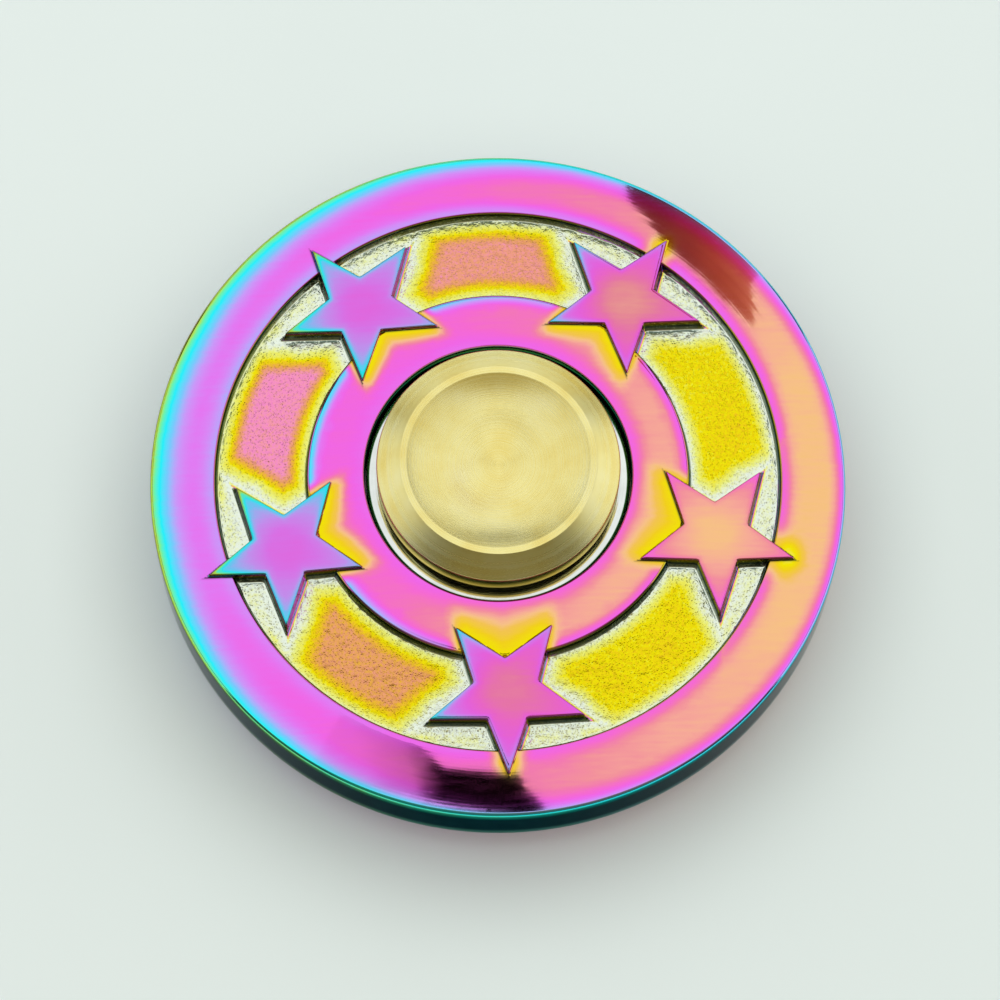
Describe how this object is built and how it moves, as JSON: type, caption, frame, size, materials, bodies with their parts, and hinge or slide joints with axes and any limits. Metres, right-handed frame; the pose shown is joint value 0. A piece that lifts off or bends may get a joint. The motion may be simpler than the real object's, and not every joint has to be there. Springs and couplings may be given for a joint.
{
  "type": "fidget spinner",
  "caption": "Round hand spinner: domed rainbow-plated disc with raised stars, turning on a shielded ball bearing held between two hollow brass finger caps.",
  "frame": {"origin": "middle of the bearing, on the spin axis, half-way between the two finger caps", "axes": "+Z along the spin axis, out of the socketed finger cap; one star points to -Y"},
  "size_m": [0.058, 0.058, 0.016],
  "materials": {
    "rainbow_plating": "glossy interference-coloured plating on a die casting: magenta, peach, yellow and cyan by film thickness; stippled groove floors",
    "turned_brass": "fine-turned, semi-gloss, concentric tool marks",
    "bearing_steel": "ground and polished",
    "pressed_steel": "bright pressed sheet",
    "spring_steel": "dark oiled spring steel"
  },
  "bodies": {
    "finger_hold": {"finger_cap_top": "turned_brass", "finger_cap_bottom": "turned_brass", "bearing_inner_race": "bearing_steel"},
    "spinning_disc": {"disc_body": "rainbow_plating", "bearing_outer_race": "bearing_steel", "bearing_shield_top": "pressed_steel", "bearing_shield_bottom": "pressed_steel", "snap_ring_top": "spring_steel", "snap_ring_bottom": "spring_steel"},
    "ball_cage": {"ball_cage_upper": "pressed_steel", "ball_cage_lower": "pressed_steel", "cage_rivet_1": "pressed_steel", "cage_rivet_2": "pressed_steel", "cage_rivet_3": "pressed_steel", "cage_rivet_4": "pressed_steel", "cage_rivet_5": "pressed_steel", "cage_rivet_6": "pressed_steel", "cage_rivet_7": "pressed_steel"},
    "ball_1": {"bearing_ball_1": "bearing_steel"},
    "ball_2": {"bearing_ball_2": "bearing_steel"},
    "ball_3": {"bearing_ball_3": "bearing_steel"},
    "ball_4": {"bearing_ball_4": "bearing_steel"},
    "ball_5": {"bearing_ball_5": "bearing_steel"},
    "ball_6": {"bearing_ball_6": "bearing_steel"},
    "ball_7": {"bearing_ball_7": "bearing_steel"}
  },
  "joints": [
    {"name": "disc_spin", "type": "hinge", "parent": "finger_hold", "child": "spinning_disc", "pos_m": [0, 0, 0], "axis": [0, 0, 1], "continuous": true},
    {"name": "cage_orbit", "type": "hinge", "parent": "finger_hold", "child": "ball_cage", "pos_m": [0, 0, 0], "axis": [0, 0, 1], "continuous": true},
    {"name": "ball_1_roll", "type": "hinge", "parent": "ball_cage", "child": "ball_1", "pos_m": [0.0075, 0, 0], "axis": [0, 0, 1], "continuous": true},
    {"name": "ball_2_roll", "type": "hinge", "parent": "ball_cage", "child": "ball_2", "pos_m": [0.00468, 0.00586, 0], "axis": [0, 0, 1], "continuous": true},
    {"name": "ball_3_roll", "type": "hinge", "parent": "ball_cage", "child": "ball_3", "pos_m": [-0.00167, 0.00731, 0], "axis": [0, 0, 1], "continuous": true},
    {"name": "ball_4_roll", "type": "hinge", "parent": "ball_cage", "child": "ball_4", "pos_m": [-0.00676, 0.00325, 0], "axis": [0, 0, 1], "continuous": true},
    {"name": "ball_5_roll", "type": "hinge", "parent": "ball_cage", "child": "ball_5", "pos_m": [-0.00676, -0.00325, 0], "axis": [0, 0, 1], "continuous": true},
    {"name": "ball_6_roll", "type": "hinge", "parent": "ball_cage", "child": "ball_6", "pos_m": [-0.00167, -0.00731, 0], "axis": [0, 0, 1], "continuous": true},
    {"name": "ball_7_roll", "type": "hinge", "parent": "ball_cage", "child": "ball_7", "pos_m": [0.00468, -0.00586, 0], "axis": [0, 0, 1], "continuous": true}
  ],
  "couplings": [
    {"joint": "cage_orbit", "follows": "disc_spin", "ratio": 0.6323},
    {"joint": "ball_1_roll", "follows": "disc_spin", "ratio": 1.7573},
    {"joint": "ball_2_roll", "follows": "disc_spin", "ratio": 1.7573},
    {"joint": "ball_3_roll", "follows": "disc_spin", "ratio": 1.7573},
    {"joint": "ball_4_roll", "follows": "disc_spin", "ratio": 1.7573},
    {"joint": "ball_5_roll", "follows": "disc_spin", "ratio": 1.7573},
    {"joint": "ball_6_roll", "follows": "disc_spin", "ratio": 1.7573},
    {"joint": "ball_7_roll", "follows": "disc_spin", "ratio": 1.7573}
  ]
}
